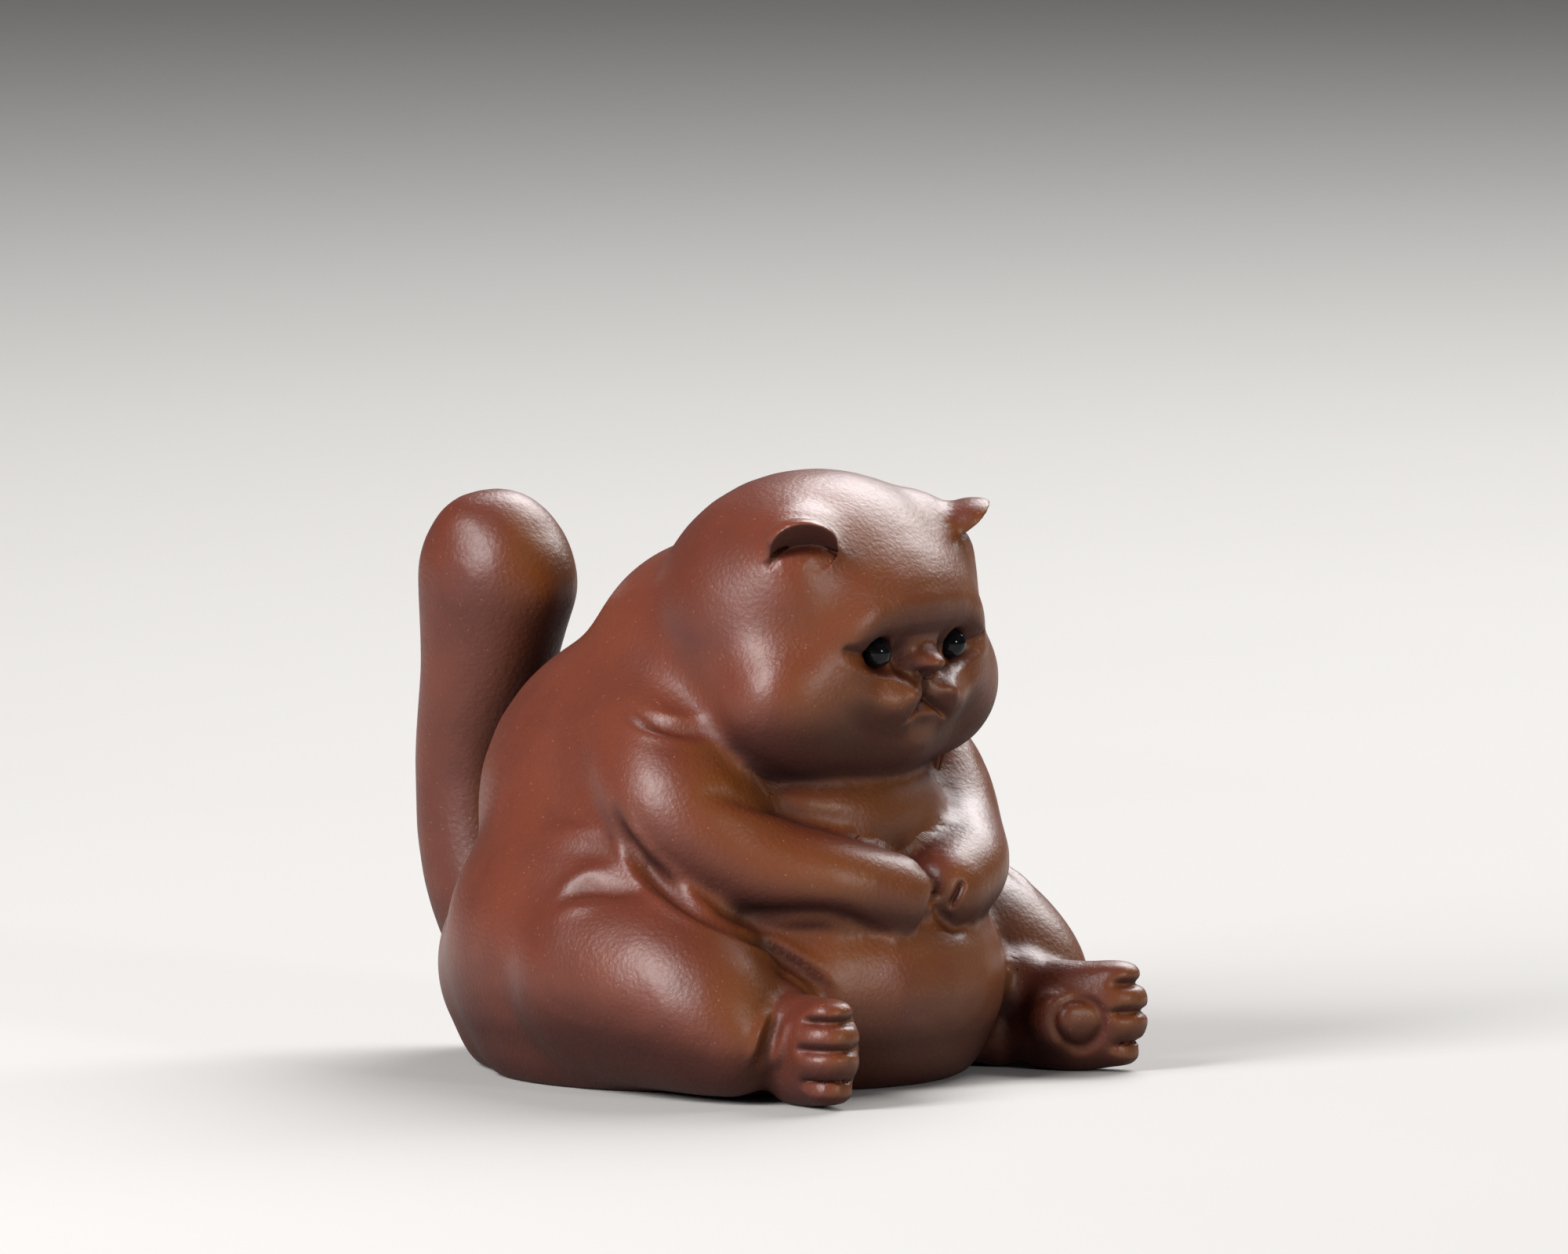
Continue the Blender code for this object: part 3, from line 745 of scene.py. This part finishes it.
class TEAPET_OT_model_face(bpy.types.Operator):
    """Raise the brow and cheeks around the eyes, and model nose, muzzle and mouth"""

    bl_idname = "teapet.model_face"
    bl_label = "Model face"

    # Lines of the face in mm: distance from the middle, and height
    BROW = ((0, 59.0), (3, 58.9), (6, 58.6), (8, 58.3), (10, 57.9), (12, 57.3), (15, 56.4))
    UNDER_EYE = ((0, 52.4), (2.5, 52.6), (5, 53.0), (7, 53.3), (9, 53.9), (11, 54.7), (15, 55.8))
    MOUTH = ((0, 49.6), (2.0, 48.3), (4.2, 46.8))
    EYE_CORNER = ((9.2, 55.7), (11.5, 56.2), (13.5, 56.6))
    # The face's bounds, the balls to refine and its middle, in mm
    BACK, CHIN, CROWN = -20, 43, 72
    REFINES = (((0, -34, 53), 15), ((0, -35, 54), 11.5))
    MIDDLE = (0, -35, 53)

    def execute(self, context):
        clay = Clay()
        for centre, radius in self.REFINES:
            clay.refine(centre, radius)
        x, y, z = clay.points.T / MM
        front = np.flatnonzero((y < self.BACK) & (z > self.CHIN) & (z < self.CROWN))
        facing = step((-clay.normals[front, 1] - 0.1) / 0.4)
        clay.points[front, 1] -= self.relief(np.abs(x[front]), z[front]) * facing * MM
        clay.measure()
        clay.soften(self.MIDDLE, 14, 3)
        return {"FINISHED"}

    def relief(self, x, z):
        """How far the face stands out beyond the plain head, in mm."""
        above = z - np.interp(x, *zip(*self.BROW))
        roll = 1.7 * bell(np.minimum(above - 4.2, 0), 3.6) * (1 - step((above - 4) / 9))
        lid = 0.7 * step((above + 1.3) / 1.8) * (1 - step((above - 0.5) / 5))
        brow = (roll + lid) * (1 - step((x - 9) / 7))
        below = np.interp(x, *zip(*self.UNDER_EYE)) - z
        cheek = 1.1 * step(below / 2.0 + 0.4) * (1 - step((below - 3.5) / 5))
        cheek *= step((x - 2) / 2.5) * (1 - step((x - 10) / 6))
        nose = 2.0 * np.exp(-((x / 2.4) ** 2 + ((z - 54.3) / 1.7) ** 2) ** 1.4)
        nose -= 1.3 * bell(x - 1.4, 0.55) * bell(z - 53.0, 0.45) + 0.4 * bell(x, 2.0) * bell(z - 52.3, 0.5)
        trough = -1.5 * bell(x - 4.2, 1.0) * bell(z - 55.2, 2.2)
        muzzle = 1.2 * bell(x - 2.7, 1.9) * bell(z - 50.5, 1.5) + 0.6 * bell(x, 1.9) * bell(z - 47.6, 1.0)
        philtrum = -0.8 * bell(x, 0.42) * step((z - 49.2) / 0.6) * step((52.7 - z) / 0.6)
        mouth = -0.75 * bell(gap_to(self.MOUTH, x, z), 0.42) * (1 - 0.7 * step((x - 2.5) / 2))
        corner = -0.5 * bell(gap_to(self.EYE_CORNER, x, z), 0.45)
        temple = 1.7 * bell(x - 13.5, 4.0) * bell(z - 58.0, 4.0)
        return brow + temple + cheek + nose + trough + muzzle + philtrum + mouth + corner


class TEAPET_OT_model_ears(bpy.types.Operator):
    """Hollow the ears under their rims"""

    bl_idname = "teapet.model_ears"
    bl_label = "Model ears"

    # The ear's root in mm, and the directions out of the head and up the ear
    ROOT = (16.1, -27.0, 70.3)
    OUTWARD = (0.718, -0.513, 0.472)
    ABOVE = (-0.384, 0.274, 0.882)
    # In mm: the ear's middle, the radii within which it is refined, its reach from the root,
    # and how far out the rays to the head start
    MIDDLE = (17, -28, 71)
    REFINES = (8, 6.5)
    REACH = 9
    CLEAR = 30

    def execute(self, context):
        clay = Clay()
        for radius in self.REFINES:
            clay.refine(self.MIDDLE, radius)
        outward, above = np.array(self.OUTWARD), np.array(self.ABOVE)
        offset = folded(clay.points) / MM - self.ROOT
        near = np.flatnonzero(np.linalg.norm(offset, axis=1) < self.REACH)
        offset = offset[near]
        skull = self.skull_heights(clay, near, offset)
        lift = self.relief(offset @ np.cross(outward, above), offset @ above, offset @ outward, skull)
        way = np.where(clay.points[near, :1] < 0, outward * [-1, 1, 1], outward)
        clay.points[near] += way * lift[:, None] * MM
        clay.measure()
        clay.soften(self.MIDDLE, 7, 3)
        return {"FINISHED"}

    def skull_heights(self, clay, near, offset):
        """How far out the head's own surface lies under each point, in mm."""
        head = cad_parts["head_shell"].data
        corners = [vert.co for vert in head.vertices]
        tree = BVHTree.FromPolygons(corners, [face.vertices for face in head.polygons])
        heights = []
        for point, out in zip(clay.points[near], offset @ np.array(self.OUTWARD)):
            way = Vector(self.OUTWARD)
            way.x = math.copysign(way.x, point[0])
            gap = tree.ray_cast(Vector(point) + way * self.CLEAR * MM, -way)[3]
            heights.append(out if gap is None else out + self.CLEAR - gap / MM)
        return np.array(heights)

    def relief(self, a, b, h, skull):
        """How far to move a point outward, in mm: up to the arched edge, or down to the hollow below it."""
        edge = -2.1 + 0.1 * a + 2.5 * np.sqrt(np.clip(1 - ((a - 0.7) / 4.6) ** 2, 0, 1))
        visor = 0.3 * bell(b - edge - 0.5, 0.9) * bell(a, 4.5)
        hollow = 0.6 * bell(edge - b - 0.7, 0.9) * bell(a + 0.8, 3.0)
        window = step((a + 6.8) / 1.4) * step((6.6 - a) / 2.0) * step((b + 6.0) / 3.0)
        inside = step((edge - b) / 0.7 + 0.4) * window
        return visor * (1 - inside) + np.minimum(skull - hollow - h, 0) * inside * step((h + 2.5) / 1.5)


class TEAPET_OT_part_clay(bpy.types.Operator):
    """Part the skin into the pieces it was built from, measure the masks of its painted shade, and give
    them the clay's finish
    """

    bl_idname = "teapet.part_clay"
    bl_label = "Part clay"

    # A crease this deep, in mm, counts as a full hollow
    FULL_HOLLOW = 0.25
    HOLLOW_ROUNDS = 12
    # The rays that look for shade: how many, how far they reach and start off the skin in mm,
    # and a slant from which their first direction across the skin is taken
    RAYS = 14
    RAY_REACH = 22.0
    RAY_START = 0.15
    SLANT = (0.36, 0.48, 0.8)
    SHADE_ROUNDS = 20

    def execute(self, context):
        clay = Clay()
        mesh = clay.obj.data
        # Masks of painted shade: how deep each point lies in a crease, and how shut in it is
        shade_masks = {"hollow": self.hollows(clay), "shade": self.shades(clay)}
        owners = self.owners(mesh)
        finish = clay_material(context.scene.teapet_clay)
        for number, node in enumerate(CLAY_NODES):
            faces = [face for face, owner in zip(mesh.polygons, owners) if owner == number]
            piece = self.piece("clay_" + node, faces, clay, shade_masks)
            piece.data.materials.append(finish)
            stand_for(piece, node)
        bpy.data.objects.remove(clay.obj)
        return {"FINISHED"}

    def hollows(self, clay):
        """How deep each point lies in a crease, from 0 to 1; the clay's colour darkens with it as painted
        shade.
        """
        mean = clay.points
        for _ in range(self.HOLLOW_ROUNDS):
            mean = clay.neighbours_mean(mean)
        depth = np.sum((mean - clay.points) * clay.normals, axis=1)
        return np.clip(depth / (self.FULL_HOLLOW * MM), 0, 1)

    def shades(self, clay):
        """How much each point is shut in by the clay around it, from 0 to 1; the clay's colour darkens with
        it as painted shade.
        """
        normals, reach = clay.normals, self.RAY_REACH * MM
        across = np.cross(normals, self.SLANT)
        across /= np.linalg.norm(across, axis=1)[:, None]
        along = np.cross(normals, across)
        starts = [Vector(p) for p in clay.points + normals * self.RAY_START * MM]
        total = np.zeros(len(starts))
        for k in range(self.RAYS):
            rise = math.sqrt(1 - (k + 0.5) / self.RAYS)
            spread, turn = math.sqrt(1 - rise * rise), GOLDEN_ANGLE * k
            ways = normals * rise + (across * math.cos(turn) + along * math.sin(turn)) * spread
            for number, (start, way) in enumerate(zip(starts, ways.tolist())):
                gap = clay.tree.ray_cast(start, way, reach)[3]
                if gap is not None:
                    total[number] += 1 - gap / reach
        shade = (total / self.RAYS)[:, None]
        for _ in range(self.SHADE_ROUNDS):
            shade = (shade + clay.neighbours_mean(shade)) / 2
        return shade[:, 0]

    def owners(self, mesh):
        """For each face, the number of the CAD node that lies closest."""
        corners, triangles, numbers = [], [], []
        for number, node in enumerate(CLAY_NODES):
            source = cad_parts[node].data
            source.calc_loop_triangles()
            first = len(corners)
            corners += [vert.co.copy() for vert in source.vertices]
            triangles += [[first + k for k in triangle.vertices] for triangle in source.loop_triangles]
            numbers += [number] * len(source.loop_triangles)
        tree = BVHTree.FromPolygons(corners, triangles)
        return [numbers[tree.find_nearest(face.center)[2]] for face in mesh.polygons]

    def piece(self, name, faces, clay, shade_masks):
        """A closed piece with the skin's own normals, so that no seam shows against its neighbours."""
        used = sorted({k for face in faces for k in face.vertices})
        fresh = {old: new for new, old in enumerate(used)}
        corners = [[fresh[k] for k in face.vertices] for face in faces]
        skin_faces = len(corners)
        points = [Vector(clay.points[k]) for k in used]
        points, corners = self.closed(points, corners)
        mesh = bpy.data.meshes.new(name)
        mesh.from_pydata(points, [], corners)
        mesh.shade_smooth()
        # The masks of painted shade go on the points, for the shader to darken the colour
        for kind, depth in shade_masks.items():
            painted_shade = mesh.attributes.new(kind, "FLOAT", "POINT")
            painted_shade.data.foreach_set("value", np.append(depth[used], np.zeros(len(points) - len(used))))
        normals = []
        for number, polygon in enumerate(mesh.polygons):
            for k in polygon.vertices:
                normals.append(clay.normals[used[k]] if number < skin_faces else polygon.normal)
        mesh.normals_split_custom_set(normals)
        return put(name, mesh)

    def closed(self, points, corners):
        """Closes each open rim with a fan of faces to its middle."""
        after = {}
        sides = {(a, b) for face in corners for a, b in zip(face, face[1:] + face[:1])}
        for a, b in sides:
            if (b, a) not in sides:
                after.setdefault(b, []).append(a)
        while after:
            start = next(iter(after))
            rim, here = [], start
            while here in after:
                rim.append(here)
                there = after[here].pop()
                if not after[here]:
                    del after[here]
                here = there
            points = [*points, sum((points[k] for k in rim), Vector()) / len(rim)]
            corners = corners + [[a, b, len(points) - 1] for a, b in zip(rim, rim[1:] + rim[:1])]
        return points, corners


class TEAPET_OT_set_eyes(bpy.types.Operator):
    """Set the glass beads in their sockets"""

    bl_idname = "teapet.set_eyes"
    bl_label = "Set eyes"

    def execute(self, context):
        finish = glass_material()
        for node in BEADS:
            low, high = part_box(node)
            bm = bmesh.new()
            bmesh.ops.create_uvsphere(bm, u_segments=48, v_segments=24, radius=(high.x - low.x) / 2)
            bmesh.ops.translate(bm, verts=bm.verts, vec=(low + high) / 2)
            mesh = bpy.data.meshes.new("bead_" + node)
            bm.to_mesh(mesh)
            bm.free()
            mesh.shade_smooth()
            mesh.materials.append(finish)
            stand_for(put(mesh.name, mesh), node)
        return {"FINISHED"}


class TEAPET_OT_seat_slab(bpy.types.Operator):
    """Give the slab soft edges and its raw finish"""

    bl_idname = "teapet.seat_slab"
    bl_label = "Seat slab"

    EDGE = 0.4  # mm

    def execute(self, context):
        bm = bmesh.new()
        bm.from_mesh(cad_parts[SLAB].data)
        bmesh.ops.remove_doubles(bm, verts=bm.verts, dist=WELD)
        mesh = bpy.data.meshes.new("scraped_slab")
        bm.to_mesh(mesh)
        bm.free()
        mesh.materials.clear()
        mesh.materials.append(slab_material(context.scene.teapet_clay))
        slab = put(mesh.name, mesh)
        soft = slab.modifiers.new("soft edges", "BEVEL")
        soft.width = self.EDGE * MM
        soft.segments = 3
        soft.angle_limit = math.radians(40)
        stand_for(slab, SLAB)
        return {"FINISHED"}


class TEAPET_OT_stage(bpy.types.Operator):
    """Put up the floor, the lamps and the photograph's camera"""

    bl_idname = "teapet.stage"
    bl_label = "Stage"

    # Each lamp's azimuth, elevation and spread in degrees, and its distance, width and height in metres
    LAMPS = {
        "key": {"azimuth": 100, "elevation": 45, "distance": 1.5, "size": (1.2, 1.1), "spread": 110},
        "fill": {"azimuth": -98, "elevation": 30, "distance": 1.2, "size": (0.42, 0.8)},
        "front": {"azimuth": -8, "elevation": 16, "distance": 1.2, "size": (0.16, 0.16)},
    }
    LAMP_AIM = (0, 0, 0.035)
    FLOOR_HALF = 6.0
    FLOOR_GAP = 0.02 * MM

    def execute(self, context):
        settings = context.scene.teapet_stage
        context.scene.view_settings.view_transform = "Standard"
        Clay.camera.make()
        self.lay_floor(settings)
        self.light_sky(context, settings)
        for name, place in self.LAMPS.items():
            self.hang_lamp(name, getattr(settings, name), **place)
        return {"FINISHED"}

    def lay_floor(self, settings):
        shader = Shader("pale floor")
        place = shader.node("ShaderNodeTexCoord", output=3)
        mottle = shader.noise(place, 8.0)
        pale = tuple(settings.floor)
        colour = shader.mix(mottle, pale, tuple(0.97 * c for c in pale))
        bm = bmesh.new()
        bmesh.ops.create_grid(bm, x_segments=1, y_segments=1, size=self.FLOOR_HALF)
        mesh = bpy.data.meshes.new("floor")
        bm.to_mesh(mesh)
        bm.free()
        shader.surface.inputs["Specular IOR Level"].default_value = 0.0
        mesh.materials.append(shader.finish(base_color=colour, roughness=0.6))
        floor = put("floor", mesh)
        floor.location.z = -self.FLOOR_GAP

    def light_sky(self, context, settings):
        world = bpy.data.worlds.new("sky")
        world.use_nodes = True
        sky = world.node_tree.nodes["Background"]
        sky.inputs["Color"].default_value = (0.95, 0.97, 1.0, 1.0)
        sky.inputs["Strength"].default_value = settings.sky
        context.scene.world = world

    def hang_lamp(self, name, power, azimuth, elevation, distance, size, spread=180):
        a, e = math.radians(azimuth), math.radians(elevation)
        toward = Vector((math.sin(a) * math.cos(e), -math.cos(a) * math.cos(e), math.sin(e)))
        data = bpy.data.lights.new(name, "AREA")
        data.energy, data.shape = power, "RECTANGLE"
        data.size, data.size_y = size
        data.spread = math.radians(spread)
        lamp = put(name, data)
        lamp.visible_camera = False
        lamp.location = Vector(self.LAMP_AIM) + toward * distance
        lamp.rotation_mode = "QUATERNION"
        lamp.rotation_quaternion = (-toward).to_track_quat("-Z", "Y")


class TEAPET_PT_panel(bpy.types.Panel):
    """The tea pet's steps and settings"""

    bl_idname = "TEAPET_PT_panel"
    bl_label = "Cat tea pet"
    bl_space_type = "VIEW_3D"
    bl_region_type = "UI"
    bl_category = "Tea pet"

    def draw(self, context):
        for settings in (context.scene.teapet_clay, context.scene.teapet_stage):
            for name in settings.__annotations__:
                self.layout.prop(settings, name)
        for operator in STEPS:
            self.layout.operator(operator.bl_idname)


STEPS = (
    TEAPET_OT_gather_clay,
    TEAPET_OT_model_body,
    TEAPET_OT_model_forelegs,
    TEAPET_OT_model_hind_legs,
    TEAPET_OT_model_ears,
    TEAPET_OT_model_face,
    TEAPET_OT_part_clay,
    TEAPET_OT_set_eyes,
    TEAPET_OT_seat_slab,
    TEAPET_OT_stage,
)
CLASSES = (ClaySettings, StageSettings, *STEPS, TEAPET_PT_panel)


def register():
    for cls in CLASSES:
        bpy.utils.register_class(cls)
    bpy.types.Scene.teapet_clay = PointerProperty(type=ClaySettings)
    bpy.types.Scene.teapet_stage = PointerProperty(type=StageSettings)


def unregister():
    del bpy.types.Scene.teapet_stage
    del bpy.types.Scene.teapet_clay
    for cls in reversed(CLASSES):
        bpy.utils.unregister_class(cls)


def main():
    register()
    bpy.ops.teapet.gather_clay()
    bpy.ops.teapet.model_body()
    bpy.ops.teapet.model_forelegs()
    bpy.ops.teapet.model_hind_legs()
    bpy.ops.teapet.model_ears()
    bpy.ops.teapet.model_face()
    bpy.ops.teapet.part_clay()
    bpy.ops.teapet.set_eyes()
    bpy.ops.teapet.seat_slab()
    bpy.ops.teapet.stage()


if __name__ == "__main__":
    main()
